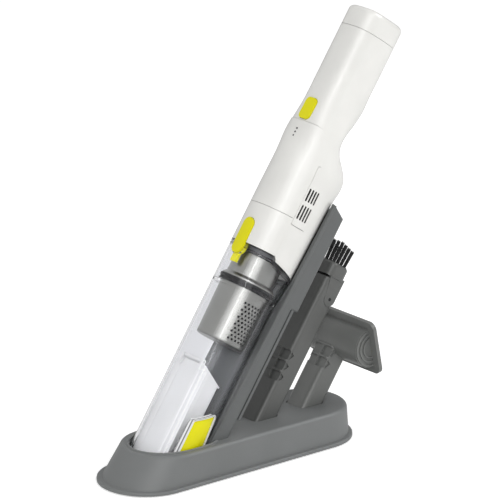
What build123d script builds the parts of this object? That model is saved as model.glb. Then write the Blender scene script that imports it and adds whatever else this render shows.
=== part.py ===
"""Cordless handheld vacuum leaning in its charging stand, with two tools stored behind it.

The vacuum, the stand's spine and both tools lean together. They are drawn upright in the lean
frame (axis up, buttons towards -x, spine towards +x) and then tilted into the stand.
"""

import os
from math import asin, copysign, cos, degrees, pi, radians, sin, sqrt

from build123d import *

os.makedirs("parts", exist_ok=True)

# Stand base
BASE_LENGTH = 253.0
BASE_WIDTH = 84.0
FLANGE_STEP = 3.0
FLANGE_THICK = 2.8
FOOT_HEIGHT = 1.0
FOOT_RADIUS = 7.0
DECK_HEIGHT = 29.5
WALL_DRAFT = 2.0
FRONT_RAKE = 20.0
BASE_WALL = 2.6
DECK_EDGE = 3.5
PLATE_THICK = 2.4
RECESS_DEPTH = 2.0
RECESS_SHIFT = 8.0
RECESS_MARGIN = 0.8
FLANGE_EDGE = 1.0
POCKET_FLOOR = 2.0
WELL_WALL = 1.8
WELL_LIFT = 1.0
SCREW_PLACES = ((-8.0, 25.0), (102.0, 20.0))
SCREW_RADIUS = 1.5
SCREW_DEPTH = 10.0
HEAD_RADIUS = 3.0
HEAD_DEPTH = 1.2
BOSS_RADIUS = 4.0
FOOT_PLACES = ((-88.0, 22.0), (84.0, 24.0))
INLET_Z = 14.0
INLET_RADIUS = 5.5
INLET_LENGTH = 12.0
INLET_WALL = 2.2
INLET_PLATE = 2.0

# Lean of the vacuum and where its axis meets the table, from the base centre
LEAN = 34.65
AXIS_FOOT = -80.6

# Dust cup, heights measured up the vacuum's axis
CUP_RADIUS = 28.0
CUP_WALL = 2.0
CUP_FLARE_FOOT = 172.0
CUP_FLARE_TOP = 200.0
CUP_REACH = 5.0
RIM_FRONT = 210.0
RIM_STEP = 4.0
RIM_REAR = 198.0
PARTING_X = -9.0
NOSE_REST = 7.0
CUP_FLOOR = 15.0
FLOOR_THICK = 2.0
MOUTH_GAP = 1.0
SLEEVE_WALL = 2.2
RIM_GAP = 0.4
NEAR_ROUND = 0.4

# Inlet duct and its flap
DUCT_FRONT = -16.0
DUCT_REAR = 11.3
DUCT_HALF = 13.5
DUCT_WALL = 1.6
DUCT_TOP = 103.0
DUCT_DROP = 11.5
FLAP_THICK = 1.4
HINGE_RADIUS = 1.9
HINGE_PIN = 0.8
EAR_WIDTH = 2.6
DUCT_CORNER = 3.0

# Lime tabs on the nose
TAB_TOP = 52.2
TAB_BOTTOM = 27.0
TAB_FRONT = -8.8
TAB_REAR_TOP = 7.8
TAB_REAR_BOTTOM = 12.5
TAB_PROUD = 0.5
TAB_CORNER = 1.2
TAB_LIP = 1.6
FRAME_WIDTH = 2.6
FRAME_PROUD = 0.7

# Filter
FILTER_X = 1.0
FILTER_RADIUS = 22.0
FILTER_TAPER = 0.8
FILTER_BOTTOM = 127.0
FILTER_TOP = 175.0
FILTER_WALL = 0.8
GASKET_HEIGHT = 6.0
GASKET_RADIUS = 24.7
NECK_RADIUS = 21.6
COLLAR_RADIUS = 21.0
COLLAR_BORE = 17.5
COLLAR_TOP = 204.0
LEDGE_HEIGHT = 3.0
FILTER_GAP = 0.6
HOLE_RADIUS = 1.15
HOLE_PITCH = 3.7
HOLE_SPAN = 36.0
HOLE_FOOT = 132.5
HOLE_ROWS = 11
PLEATS = 24
PLEAT_DEPTH = 4.0
PLEAT_GAP = 1.2
FILTER_EDGE = 2.0

# White body
BODY_RADIUS = 27.5
BODY_WALL = 2.2
BODY_FOOT_REAR = 33.0
BODY_REAR = 37.0
SHOULDER = 285.0
WAIST = 319.0
BULGE = 2.4
WAIST_REAR = 14.6
GRIP_START = 348.0
GRIP_FRONT = -25.0
GRIP_REAR = 22.0
GRIP_HALF = 19.5
GRIP_FULLNESS = 3.1
BODY_FULLNESS = 2.15
SECTION_POINTS = 24
BODY_STATIONS = 20
CAP_SEAM = 413.0
GRIP_END = 432.0
CAP_EDGE = 5.0
SEAM = 0.3
COVER_TOP = 323.0
COVER_CORNER = 14.0
COVER_PROUD = 0.5
PLATE_SUNK = 0.4
RING_SEAM = 245.0
FIT = 0.2

# Vents
VENT_FOOT = 240.0
VENT_TOP = 296.0
VENT_REAR = 7.0
VENT_CORNER = 1.6
SLOT_WIDTH = 1.8
FOAM_THICK = 2.5
FOAM_SEAT = 23.0
SLOT_PITCH = 3.0
SLOT_START = 2.6
SLOT_ROWS = ((246.0, 13.0), (262.5, 11.5))
SLOTS = 4

# Buttons and lights
RELEASE_LOW = 198.7
RELEASE_HIGH = 231.0
RELEASE_WIDTH = 12.0
RELEASE_PROUD = 1.8
RELEASE_ROOM = 3.4
CATCH_DROP = 7.0
CATCH_THICK = 2.2
POWER_LOW = 324.6
POWER_HIGH = 344.0
POWER_WIDTH = 13.0
POWER_CORNER = 4.0
POWER_PROUD = 1.2
POWER_TRAVEL = 1.5
BUTTON_GAP = 0.35
LED_HEIGHTS = (308.4, 311.7, 315.0)
LED_RADIUS = 0.8
BOARD_X = -16.0
BOARD_THICK = 1.6
BOARD_WIDTH = 22.0
SWITCH_SIZE = 6.0

# Motor, fan and battery
MOTOR_X = 3.0
MOTOR_RADIUS = 17.0
MOTOR_FOOT = 226.0
MOTOR_LENGTH = 40.0
MOTOR_EDGE = 1.2
SHAFT_RADIUS = 1.5
SHAFT_GAP = 0.05
FAN_RADIUS = 20.0
FAN_FOOT = 214.0
FAN_HEIGHT = 9.0
FAN_BLADES = 9
BULKHEAD_FOOT = 204.4
BULKHEAD_THICK = 2.4
CELL_RADIUS = 9.2
CELL_LENGTH = 62.0
CELL_SPACING = 19.2
CELL_FOOT = 356.0
HOLDER_CORNER = 16.6
PLUG_GAP = 0.45

# Spine
SPINE_HALF = 27.0
LIP_FOOT_X = 17.0
LIP_TOP_X = 24.5
SPINE_TOP = 273.0
SPINE_REAR = 34.7
BOX_FOOT = 178.8
BOX_TOP = 266.6
BOX_REAR = 42.8
CRADLE_GAP = 1.1
COVER_THICK = 1.8
PIN_HEIGHT = 232.0
PIN_RADIUS = 2.0
PIN_SPREAD = 7.0
PIN_LENGTH = 4.4
SPINE_FOOT = 10.0
SPINE_EDGE = 3.0
LIP_THICK = 3.5
COVER_MARGIN = 8.0
PLATE_CORNER = 4.0
COVER_HEAD = 2.6

# Tools
PLUG_DEPTH_Z = 3.8
TOOL_GAP = 0.8
TOOL_CORNER = 4.0
CREVICE_FRONT = 68.0
CREVICE_REAR = 88.5
CREVICE_HALF = 12.0
BORE_WALL = 3.4
PIVOT_X = 82.3
PIVOT_HEIGHT = 204.0
PIVOT_RADIUS = 1.5
ARM_RADIUS = 6.2
ARM_THICK = 2.4
ARM_GAP = 0.3
HEAD_FOOT = 222.0
HEAD_TOP = 234.0
HEAD_GAP = 2.0
HEAD_PROUD = 0.6
BRISTLE_LENGTH = 17.5
BRISTLE_RADIUS = 0.3
TUFT_RADIUS = 1.45
TUFT_INSET = 3.8
RING_INSET = 2.6
RING_CORNER = 2.6
RING_THICK = 0.6
HEAD_EDGE = 2.5
HEAD_HOLE = 5.6
TUFT_SPREAD = 0.006
STRAND_SPREAD = 0.05
BRUSH_SLANT = 0.16
STRAND_RINGS = ((1, 0.0), (6, 0.85))
UPHOLSTERY_FRONT = 110.4
UPHOLSTERY_REAR = 130.5
UPHOLSTERY_HALF = 11.5
MOUTH_WIDTH = 95.0
MOUTH_HEIGHT = 48.0
MOUTH_TILT = 11.0
MOUTH_X = 128.5
MOUTH_Z = 81.0
MOUTH_LIP = 3.4
PLENUM_RADIUS = 17.5
PLENUM_WIDTH = 80.0
PLENUM_WALL = 2.0
POCKET_DEPTH = 2.0

# Worked-out places
SLOPE = sin(radians(LEAN))
RISE = cos(radians(LEAN))
HANDLE_REACH = AXIS_FOOT + GRIP_END * SLOPE + GRIP_REAR * RISE
BASE_X = (BASE_LENGTH / 2 - HANDLE_REACH) / 2
SPAN = BASE_LENGTH - BASE_WIDTH
WALL_WIDTH = BASE_WIDTH - 2 * FLANGE_STEP
PLATE_TOP = FOOT_HEIGHT + PLATE_THICK
LEANED = Location((BASE_X + AXIS_FOOT, 0, 0), (0, LEAN, 0))
FAR = 600.0


def save(name, shape):
    """Write one piece to its file."""
    export_step(shape, f"parts/{name}.step")


def tilt(shape):
    """Carry a piece from the lean frame into the stand."""
    return LEANED * shape


def at_height(z, x):
    """Height up the axis of a point that lies z above the table, x behind the axis."""
    return (z + x * SLOPE) / RISE


def above(z):
    """Everything higher than z above the table."""
    return Pos(0, 0, z + FAR / 2) * Box(FAR * 2, FAR, FAR)


def slab(low, high):
    """Everything between two heights of the frame that it is used in."""
    return Pos(0, 0, (low + high) / 2) * Box(FAR, FAR, high - low)


def prism(outline, half=FAR / 2):
    """Solid of an outline drawn in x and height, reaching half each way across."""
    return extrude(Plane.XZ * outline, amount=half, both=True)


def outline(*points):
    """Flat shape with straight edges, in x and height."""
    return Polygon(*points, align=None)


def tube_section(height, reach, radius):
    """Round-ended section square to the axis, its rear arc set back by reach."""
    return Pos(reach / 2, 0, height) * SlotCenterToCenter(reach, 2 * radius)


def round_box(front, rear, half, corner, low, high):
    """Upright box with round corners in plan."""
    plan = Pos((front + rear) / 2, 0, low) * RectangleRounded(rear - front, 2 * half, corner)
    return extrude(plan, amount=high - low)


def rod(x, y, low, high, radius):
    """Upright round bar."""
    return Pos(x, y, (low + high) / 2) * Cylinder(radius, high - low)


def cross_rod(x, height, half, radius):
    """Round bar lying across the vacuum, centred on it."""
    return Pos(x, 0, height) * Rot(90, 0, 0) * Cylinder(radius, 2 * half)


def base_form(inset, low=FOOT_HEIGHT):
    """Base's outer form, drawn in by inset, with the front wall raked like the vacuum."""
    foot = Pos(BASE_X, 0, low) * SlotCenterToCenter(SPAN, WALL_WIDTH - 2 * inset)
    deck = SlotCenterToCenter(SPAN - FRONT_RAKE, WALL_WIDTH - 2 * WALL_DRAFT - 2 * inset)
    return loft([foot, Pos(BASE_X + FRONT_RAKE / 2, 0, DECK_HEIGHT - inset) * deck])


def cup_form(grow):
    """Dust cup's outer form, grown by the given amount."""
    radius = CUP_RADIUS + grow
    return loft(
        [
            tube_section(-30, NEAR_ROUND, radius),
            tube_section(CUP_FLARE_FOOT, NEAR_ROUND, radius),
            tube_section(CUP_FLARE_TOP, CUP_REACH, radius),
            tube_section(RIM_FRONT + 5, CUP_REACH, radius),
        ],
        ruled=True,
    )


def cradle_form():
    """Space that the spine leaves for the vacuum, a running gap outside it."""
    radius = CUP_RADIUS + CRADLE_GAP
    return loft(
        [
            tube_section(-30, NEAR_ROUND, radius),
            tube_section(CUP_FLARE_FOOT, NEAR_ROUND, radius),
            tube_section(CUP_FLARE_TOP, CUP_REACH + 0.5, radius),
            tube_section(SHOULDER, BODY_REAR - BODY_RADIUS, radius),
            tube_section(SHOULDER + 40, BODY_REAR - BODY_RADIUS, radius),
        ],
        ruled=True,
    )


def body_section(height, front, rear, half, fullness, inset):
    """Soft-cornered section of the white body, drawn in by inset: 2 is an ellipse, more is squarer."""
    centre = (front + rear) / 2
    reach = (rear - front) / 2 - inset
    points = []
    for step in range(SECTION_POINTS):
        c = cos(2 * pi * step / SECTION_POINTS)
        s = sin(2 * pi * step / SECTION_POINTS)
        x = centre + reach * copysign(abs(c) ** (2 / fullness), c)
        points.append((x, (half - inset) * copysign(abs(s) ** (2 / fullness), s)))
    knots = [step / SECTION_POINTS for step in range(SECTION_POINTS + 1)]
    return Pos(0, 0, height) * make_face(Edge.make_spline(points, periodic=True, parameters=knots))


def ease(height, start, end):
    """0 below start, 1 above end, smooth between."""
    share = min(max((height - start) / (end - start), 0.0), 1.0)
    return share * share * (3 - 2 * share)


def body_form(inset):
    """White body and handle as one smooth form, drawn in by inset."""
    low = RIM_REAR - 8
    high = GRIP_END + 5
    sections = []
    for step in range(BODY_STATIONS + 1):
        height = low + (high - low) * step / BODY_STATIONS
        climb = min((height - RIM_REAR) / (SHOULDER - RIM_REAR), 1.0)
        swell = BODY_FOOT_REAR + (BODY_REAR - BODY_FOOT_REAR) * climb
        swell += BULGE * ease(height, SPINE_TOP - 8, SHOULDER + 4)
        fall = ease(height, SHOULDER + 5, WAIST + 1)
        rise = ease(height, WAIST - 1, GRIP_START + 4)
        slim = ease(height, SHOULDER, GRIP_START)
        rear = swell + (WAIST_REAR - swell) * fall + (GRIP_REAR - WAIST_REAR) * rise
        front = -BODY_RADIUS + (GRIP_FRONT + BODY_RADIUS) * slim
        half = BODY_RADIUS + (GRIP_HALF - BODY_RADIUS) * slim
        fullness = BODY_FULLNESS + (GRIP_FULLNESS - BODY_FULLNESS) * slim
        sections.append(body_section(height, front, rear, half, fullness, inset))
    return loft(sections)


# Stand base: a thin moulding with a raked front, a flange round its foot and a nose pocket
mouth = tilt(rod(0, 0, -60, 120, CUP_RADIUS + MOUTH_GAP))
sleeve = tilt(rod(0, 0, -60, 120, CUP_RADIUS + MOUTH_GAP + SLEEVE_WALL))
recess_plan = Pos(RECESS_SHIFT / 2, 0, -30) * SlotCenterToCenter(
    RECESS_SHIFT, 2 * (CUP_RADIUS + MOUTH_GAP + RECESS_MARGIN)
)
recess = tilt(extrude(recess_plan, amount=150)) & above(DECK_HEIGHT - RECESS_DEPTH)
tools = (
    (CREVICE_FRONT, CREVICE_REAR, CREVICE_HALF),
    (UPHOLSTERY_FRONT, UPHOLSTERY_REAR, UPHOLSTERY_HALF),
)


def tool_well(front, rear, half, grow):
    """Leaning well that a tool's foot stands in."""
    return tilt(
        round_box(front - grow, rear + grow, half + grow, TOOL_CORNER + grow, 0, 200)
    )


base_outer = base_form(0)
base_outer = fillet(base_outer.faces().sort_by(Axis.Z)[-1].edges(), DECK_EDGE)
flange = extrude(
    Pos(BASE_X, 0, FOOT_HEIGHT) * SlotCenterToCenter(SPAN, BASE_WIDTH), amount=FLANGE_THICK
)
flange = fillet(flange.faces().sort_by(Axis.Z)[-1].edges(), FLANGE_EDGE)
hollow = base_form(BASE_WALL)
pocket_floor = above(NOSE_REST - POCKET_FLOOR)
base = base_outer + flange - hollow
base += sleeve & hollow & pocket_floor
for front, rear, half in tools:
    base += tool_well(front, rear, half, TOOL_GAP + WELL_WALL) & hollow & above(PLATE_TOP + WELL_LIFT)
base -= mouth & above(NOSE_REST)
base -= recess
for front, rear, half in tools:
    base -= tool_well(front, rear, half, TOOL_GAP)
screw_spots = [(BASE_X + x, side * y) for x, y in SCREW_PLACES for side in (-1, 1)]
for x, y in screw_spots:
    boss = rod(x, y, PLATE_TOP, DECK_HEIGHT - BASE_WALL / 2, BOSS_RADIUS)
    base += boss
    base -= rod(x, y, 0, PLATE_TOP + SCREW_DEPTH + 2, SCREW_RADIUS + SHAFT_GAP)

# Charging lead's inlet in the rear wall
inlet_x = BASE_X + SPAN / 2 + WALL_WIDTH / 2 - WALL_DRAFT
inlet_hole = Pos(inlet_x, 0, INLET_Z) * Rot(0, 90, 0) * Cylinder(INLET_RADIUS + FIT, 2 * INLET_LENGTH)
base -= inlet_hole
lying = Rot(0, 90, 0)
barrel = lying * Cylinder(INLET_RADIUS, INLET_LENGTH)
barrel -= Pos(INLET_PLATE, 0, 0) * lying * Cylinder(INLET_RADIUS - INLET_WALL, INLET_LENGTH)
barrel += Pos(-1, 0, 0) * lying * Cylinder(1.0, INLET_LENGTH - 3)
inlet_back = (INLET_PLATE - INLET_LENGTH) / 2
barrel += Pos(inlet_back, 0, 0) * Box(INLET_PLATE, 4 * INLET_RADIUS, 2.6 * INLET_RADIUS)
inlet = Pos(inlet_x + inlet_back, 0, INLET_Z) * barrel

# Bottom plate, its screws and four rubber feet
plate = base_form(BASE_WALL + SEAM) & slab(FOOT_HEIGHT, PLATE_TOP)
screws = []
for x, y in screw_spots:
    plate -= rod(x, y, 0, PLATE_TOP + 1, SCREW_RADIUS + FIT)
    plate -= rod(x, y, 0, FOOT_HEIGHT + HEAD_DEPTH, HEAD_RADIUS + FIT)
    screw = rod(x, y, FOOT_HEIGHT, PLATE_TOP + SCREW_DEPTH, SCREW_RADIUS)
    screw += rod(x, y, FOOT_HEIGHT, FOOT_HEIGHT + HEAD_DEPTH, HEAD_RADIUS)
    screws.append(screw)
foot_spots = [(BASE_X + x, side * y) for x, y in FOOT_PLACES for side in (-1, 1)]
feet = [rod(x, y, 0, FOOT_HEIGHT, FOOT_RADIUS) for x, y in foot_spots]

save("base_shell", base)
save("bottom_plate", plate)
save("base_screws", Compound(screws))
save("rubber_feet", Compound(feet))
save("charging_inlet", inlet)

# Spine: a C-shaped cradle with a thicker charging box behind the motor end
spine_outline = outline(
    (LIP_FOOT_X, SPINE_FOOT),
    (LIP_TOP_X, SPINE_TOP),
    (LIP_TOP_X + LIP_THICK, SPINE_TOP),
    (BOX_REAR, BOX_TOP),
    (BOX_REAR, BOX_FOOT),
    (SPINE_REAR, BOX_FOOT - 1.5),
    (SPINE_REAR, SPINE_FOOT),
)
spine = prism(spine_outline, SPINE_HALF)
long_edges = spine.edges().filter_by(lambda e: abs(e.center().Y) > SPINE_HALF - 0.1)
rear_edges = [e for e in long_edges if e.center().X > SPINE_REAR - 0.5]
spine = fillet(rear_edges, SPINE_EDGE)
spine -= cradle_form()
cover_low = BOX_FOOT + COVER_MARGIN
cover_high = BOX_TOP - COVER_MARGIN
cover_half = SPINE_HALF - COVER_MARGIN + 1
cover_spot = Pos(BOX_REAR - COVER_THICK, 0, (cover_low + cover_high) / 2) * Rot(0, 90, 0)


def cover_plate(grow, thick):
    """Plate over the charging box, or with grow the bed that it lies in."""
    plan = RectangleRounded(cover_high - cover_low + 2 * grow, 2 * (cover_half + grow), PLATE_CORNER + grow)
    return extrude(cover_spot * plan, amount=thick, dir=(1, 0, 0))


spine -= cover_plate(FIT, 10 * COVER_THICK)
cover = cover_plate(0, COVER_THICK)
cover_screws = []
for height in (cover_low + 6, cover_high - 6):
    for side in (-1, 1):
        spot = Pos(BOX_REAR, side * (cover_half - 6), height) * Rot(0, 90, 0)
        cover -= spot * Pos(0, 0, -0.8) * Cylinder(COVER_HEAD + FIT, 1.6)
        cover -= spot * Pos(0, 0, -3) * Cylinder(SCREW_RADIUS + FIT, 6)
        spine -= spot * Pos(0, 0, -4) * Cylinder(SCREW_RADIUS + SHAFT_GAP, 8)
        head = spot * Pos(0, 0, -0.9) * Cylinder(COVER_HEAD, 1.2)
        shank = spot * Pos(0, 0, -3.5) * Cylinder(SCREW_RADIUS, 6)
        cover_screws.append(tilt(head + shank))
pin_face = BODY_REAR - 1.3
pins = []
for side in (-1, 1):
    spot = Pos(pin_face, side * PIN_SPREAD, PIN_HEIGHT) * Rot(0, 90, 0)
    spine -= spot * Pos(0, 0, PIN_LENGTH / 2 + 0.3) * Cylinder(PIN_RADIUS + SHAFT_GAP, PIN_LENGTH + 0.6)
    pins.append(tilt(spot * Pos(0, 0, PIN_LENGTH / 2 + 0.2) * Cylinder(PIN_RADIUS, PIN_LENGTH)))
spine = tilt(spine)
seat = recess & Pos(0, 0, DECK_HEIGHT - RECESS_DEPTH / 2) * Box(FAR, FAR, RECESS_DEPTH)
spine = (spine & above(DECK_HEIGHT)) + (spine & seat)
save("stand_spine", spine)
save("charging_cover", tilt(cover))
save("cover_screws", Compound(cover_screws))
save("charge_pins", Compound(pins))

# Dust cup: a clear round tub that flares to meet the body, open at the rim
rim_low = RIM_FRONT - RIM_STEP
rim_line = [
    (-60, RIM_FRONT),
    (PARTING_X, RIM_FRONT),
    (PARTING_X + 2.5, rim_low),
    (BODY_FOOT_REAR, RIM_REAR),
    (BODY_FOOT_REAR + 25, RIM_REAR - (rim_low - RIM_REAR) * 0.6),
]
below_rim = prism(outline(*[(x, h - RIM_GAP) for x, h in rim_line], (60, -60), (-60, -60)))
above_rim = prism(outline(*rim_line, (60, 600), (-60, 600)))
cup_inside = cup_form(-CUP_WALL)
cup_wall = cup_form(0) - cup_inside
tab_points = [
    (x, at_height(z, x))
    for x, z in (
        (TAB_FRONT, TAB_TOP),
        (TAB_REAR_TOP, TAB_TOP),
        (TAB_REAR_BOTTOM, TAB_BOTTOM),
        (TAB_FRONT, TAB_BOTTOM),
    )
]
tab_plan = fillet(outline(*tab_points).vertices(), TAB_CORNER)
tab_window = prism(offset(tab_plan, BUTTON_GAP))
frame_band = prism(offset(tab_plan, BUTTON_GAP + FRAME_WIDTH))
cup = cup_wall + ((cup_form(FRAME_PROUD) - cup_inside) & frame_band)
ledge = rod(FILTER_X, 0, FILTER_TOP - LEDGE_HEIGHT, FILTER_TOP, CUP_RADIUS + 5) & cup_inside
ledge -= rod(FILTER_X, 0, 0, FAR, FILTER_RADIUS + FILTER_GAP)
cup += ledge
cup &= below_rim
cup -= tab_window
release_plan = Pos(0, (RELEASE_LOW + RELEASE_HIGH) / 2) * SlotOverall(
    RELEASE_HIGH - RELEASE_LOW, RELEASE_WIDTH, rotation=90
)
front_only = Pos(-50, 0, 250) * Box(80, 100, 500)


def front_prism(plan):
    """Solid of an outline drawn across the front face, running in from the front."""
    return extrude(Plane.YZ * plan, amount=FAR / 2, both=True) & front_only


notch = front_prism(offset(release_plan, 2 * BUTTON_GAP))
cup -= notch
floor_solid = tilt(cup_inside & slab(-40, 150)) & above(CUP_FLOOR - FLOOR_THICK)
floor_solid -= above(CUP_FLOOR)
duct_outer = round_box(DUCT_FRONT, DUCT_REAR, DUCT_HALF, DUCT_CORNER, -40, DUCT_TOP)
duct_bore = round_box(
    DUCT_FRONT + DUCT_WALL, DUCT_REAR - DUCT_WALL, DUCT_HALF - DUCT_WALL, DUCT_CORNER - DUCT_WALL, -60, 200
)
floor_solid -= tilt(
    round_box(DUCT_FRONT - FIT, DUCT_REAR + FIT, DUCT_HALF + FIT, DUCT_CORNER + FIT, -60, 200)
)
cup = (tilt(cup) & above(NOSE_REST)) + floor_solid
save("dust_cup", cup)

# Inlet duct with a slanted top and the ears of the flap's hinge
duct_slope = degrees(asin(DUCT_DROP / sqrt(DUCT_DROP**2 + (DUCT_REAR - DUCT_FRONT) ** 2)))
hinge_x = DUCT_FRONT - 0.4
hinge_h = DUCT_TOP + HINGE_RADIUS + 0.5
top_cut = prism(
    outline(
        (DUCT_FRONT, DUCT_TOP), (DUCT_REAR, DUCT_TOP - DUCT_DROP), (60, 0), (60, 300), (-60, 300),
        (-60, DUCT_TOP),
    )
)
ear_form = cross_rod(hinge_x, hinge_h, DUCT_HALF, HINGE_RADIUS)
ear_form += Pos(hinge_x, 0, hinge_h - 4) * Box(2 * HINGE_RADIUS, 2 * DUCT_HALF, 8)
ears = ear_form & (
    Pos(0, DUCT_HALF - EAR_WIDTH / 2, 100) * Box(100, EAR_WIDTH, 200)
    + Pos(0, EAR_WIDTH / 2 - DUCT_HALF, 100) * Box(100, EAR_WIDTH, 200)
)
duct = duct_outer - top_cut
duct += ears
duct -= duct_bore
duct -= cross_rod(hinge_x, hinge_h, DUCT_HALF + 1, HINGE_PIN)
save("inlet_duct", tilt(duct) & above(NOSE_REST + 0.5))
save("flap_pin", tilt(cross_rod(hinge_x, hinge_h, DUCT_HALF, HINGE_PIN)))

# Inlet flap lying on the slanted top
flap_reach = sqrt(DUCT_DROP**2 + (DUCT_REAR - DUCT_FRONT) ** 2)
flap_gap = 0.4
flap_low = -(HINGE_RADIUS + 0.5) * cos(radians(duct_slope)) + flap_gap
flap = Pos(flap_reach / 2 + 2.4, 0, flap_low + FLAP_THICK / 2) * Box(
    flap_reach - 1.6, 2 * DUCT_HALF - 1, FLAP_THICK
)
neck_half = DUCT_HALF - EAR_WIDTH - 0.4
flap += Pos(2.6, 0, flap_low + FLAP_THICK / 2) * Box(5.2, 2 * neck_half, FLAP_THICK)
flap += cross_rod(0, 0, neck_half, HINGE_RADIUS - 0.1)
flap -= cross_rod(0, 0, DUCT_HALF, HINGE_PIN + SHAFT_GAP)
save("inlet_flap", tilt(Pos(hinge_x, 0, hinge_h) * Rot(0, duct_slope, 0) * flap))

# Lime tabs in the side windows of the nose
tab_face = (cup_form(TAB_PROUD) - cup_form(-CUP_WALL)) & prism(tab_plan)
tab_lip = (cup_form(-CUP_WALL - 0.3) - cup_form(-CUP_WALL - TAB_LIP)) & prism(offset(tab_plan, TAB_LIP))
tab_bridge = (cup_form(-CUP_WALL + 0.2) - cup_form(-CUP_WALL - 1.0)) & prism(tab_plan)
tab_pair = tab_face + tab_lip + tab_bridge
for name, side in (("nose_tab_left", -1), ("nose_tab_right", 1)):
    half_space = Pos(0, side * 50, 50) * Box(100, 100, 200)
    save(name, tilt(tab_pair & half_space))


def turned(points):
    """Ring turned about the filter's axis from a half profile of radius and height."""
    return Pos(FILTER_X, 0, 0) * revolve(Plane.XZ * outline(*points), Axis.Z)


# Filter: perforated steel cup, pleated element, collar and gasket
foot_radius = FILTER_RADIUS - FILTER_TAPER
steel = turned(
    [(0, FILTER_BOTTOM), (foot_radius, FILTER_BOTTOM), (FILTER_RADIUS, FILTER_TOP), (0, FILTER_TOP)]
)
steel = fillet(steel.edges().sort_by(Axis.Z)[0], FILTER_EDGE)
steel -= turned(
    [
        (0, FILTER_BOTTOM + FILTER_WALL),
        (foot_radius - FILTER_WALL, FILTER_BOTTOM + FILTER_WALL),
        (FILTER_RADIUS - FILTER_WALL, FILTER_TOP),
        (0, FILTER_TOP),
    ]
)
row_step = HOLE_PITCH * sqrt(3) / 2
column_turn = degrees(HOLE_PITCH / FILTER_RADIUS)
columns = int(HOLE_SPAN // column_turn)
punches = []
for row in range(HOLE_ROWS):
    for column in range(-columns, columns + 1):
        turn = (column + 0.5 * (row % 2)) * column_turn
        for side in (90, -90):
            spot = Rot(0, 0, side + turn) * Pos(FILTER_RADIUS, 0, HOLE_FOOT + row * row_step)
            spot = Pos(FILTER_X, 0, 0) * spot * Rot(0, 90, 0)
            punches.append(extrude(spot * RegularPolygon(HOLE_RADIUS, 6), amount=3, both=True))
steel = steel - punches
save("filter_cup", tilt(steel))

pleat_outer = foot_radius - FILTER_WALL - PLEAT_GAP
pleat_inner = pleat_outer - PLEAT_DEPTH
pleat_points = []
for step in range(2 * PLEATS):
    reach = pleat_outer if step % 2 == 0 else pleat_inner
    angle = pi * step / PLEATS
    pleat_points.append((FILTER_X + reach * cos(angle), reach * sin(angle)))
pleats = extrude(
    Pos(0, 0, FILTER_BOTTOM + FILTER_WALL) * Polygon(*pleat_points, align=None),
    amount=FILTER_TOP - FILTER_BOTTOM - FILTER_WALL,
)
pleats -= rod(FILTER_X, 0, FILTER_BOTTOM + 6, FILTER_TOP + 1, pleat_inner - 5.0)
save("filter_element", tilt(pleats))

gasket_top = FILTER_TOP + GASKET_HEIGHT
collar = turned(
    [
        (COLLAR_BORE - 4, FILTER_TOP),
        (NECK_RADIUS, FILTER_TOP),
        (NECK_RADIUS, gasket_top),
        (NECK_RADIUS + 2.2, gasket_top),
        (NECK_RADIUS + 2.2, gasket_top + 1.4),
        (COLLAR_RADIUS, gasket_top + 4.0),
        (COLLAR_RADIUS - 0.6, COLLAR_TOP),
        (COLLAR_BORE, COLLAR_TOP),
        (COLLAR_BORE, FILTER_TOP + 2),
        (COLLAR_BORE - 4, FILTER_TOP + 2),
    ]
)
save("filter_collar", tilt(collar))
gasket = turned(
    [
        (NECK_RADIUS, FILTER_TOP),
        (GASKET_RADIUS, FILTER_TOP),
        (GASKET_RADIUS, FILTER_TOP + 1.6),
        (GASKET_RADIUS - 0.7, FILTER_TOP + 2.4),
        (GASKET_RADIUS - 0.7, gasket_top - 2.4),
        (GASKET_RADIUS, gasket_top - 1.6),
        (GASKET_RADIUS, gasket_top),
        (NECK_RADIUS, gasket_top),
    ]
)
save("filter_gasket", tilt(gasket))

# White body: shells cut from one smooth form
skin = body_form(0)
proud_skin = body_form(-COVER_PROUD)
inside = body_form(BODY_WALL)
body_span = above_rim & slab(0, CAP_SEAM - SEAM / 2)
shell_all = (skin & body_span) - inside
proud_all = (proud_skin & body_span) - inside
cover_corner = outline((-60, 150), (PARTING_X, 150), (PARTING_X, COVER_TOP), (-60, COVER_TOP))
corner_point = cover_corner.vertices().sort_by(Axis.Y)[-2:].sort_by(Axis.X)[-1]
leaf_plan = fillet(corner_point, COVER_CORNER)
cover_zone = prism(leaf_plan)
leaf_bed = prism(offset(leaf_plan, SEAM))
vent_plan = fillet(
    outline(
        (PARTING_X + SEAM, VENT_FOOT),
        (VENT_REAR, VENT_FOOT),
        (VENT_REAR - 3, VENT_TOP - 14),
        (PARTING_X + SEAM, VENT_TOP),
    ).vertices(),
    VENT_CORNER,
)
power_plan = Pos(0, (POWER_LOW + POWER_HIGH) / 2) * RectangleRounded(
    POWER_WIDTH, POWER_HIGH - POWER_LOW, POWER_CORNER
)
power_hole = front_prism(offset(power_plan, BUTTON_GAP))
release_hole = front_prism(offset(release_plan, BUTTON_GAP))

main_shell = shell_all - leaf_bed - prism(offset(vent_plan, SEAM)) - power_hole
upper_cover = proud_all & cover_zone & slab(RING_SEAM + SEAM / 2, FAR)
latch_cover = (proud_all & cover_zone & slab(0, RING_SEAM - SEAM / 2)) - release_hole
for height in LED_HEIGHTS:
    upper_cover -= Pos(-30, 0, height) * Rot(0, 90, 0) * Cylinder(LED_RADIUS + SHAFT_GAP, 20)

# Vent grilles, one each side
def side_prism(plan, side):
    """Solid of an outline drawn in x and height, reaching out to one side only."""
    return extrude(Plane.XZ * plan, amount=-side * FAR / 2)


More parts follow.
